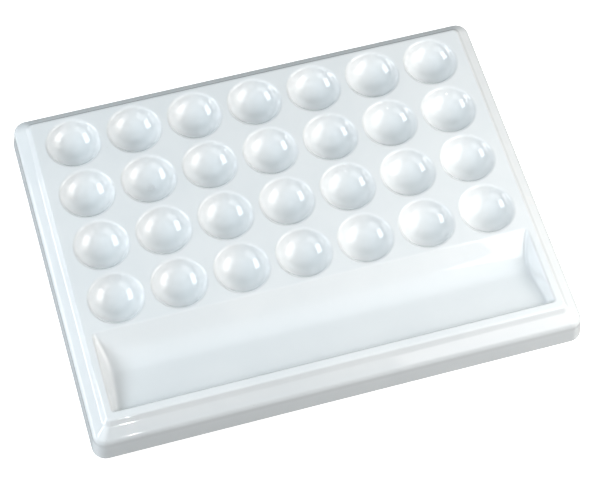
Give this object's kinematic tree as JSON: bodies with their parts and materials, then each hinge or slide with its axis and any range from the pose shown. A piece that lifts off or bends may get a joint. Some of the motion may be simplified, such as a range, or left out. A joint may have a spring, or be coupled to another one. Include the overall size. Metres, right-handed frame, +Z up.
{
  "type": "mixing palette",
  "caption": "Rectangular glazed porcelain paint mixing palette with a grid of round wells, one long slanted trough, a stepped border and soft corner feet.",
  "frame": {"origin": "on the tabletop, under the middle of the palette", "axes": "+Z up out of the wells, +X along the long side to the right, +Y across the palette away from the trough"},
  "size_m": [0.2806, 0.2146, 0.0265],
  "materials": {
    "porcelain_glaze": "clear gloss glaze over cool white porcelain, wiped bare on the standing rim",
    "silicone": "milky translucent, satin"
  },
  "bodies": {
    "root": {"palette_body": "porcelain_glaze", "foot_front_left": "silicone", "foot_front_right": "silicone", "foot_back_left": "silicone", "foot_back_right": "silicone"}
  },
  "joints": []
}
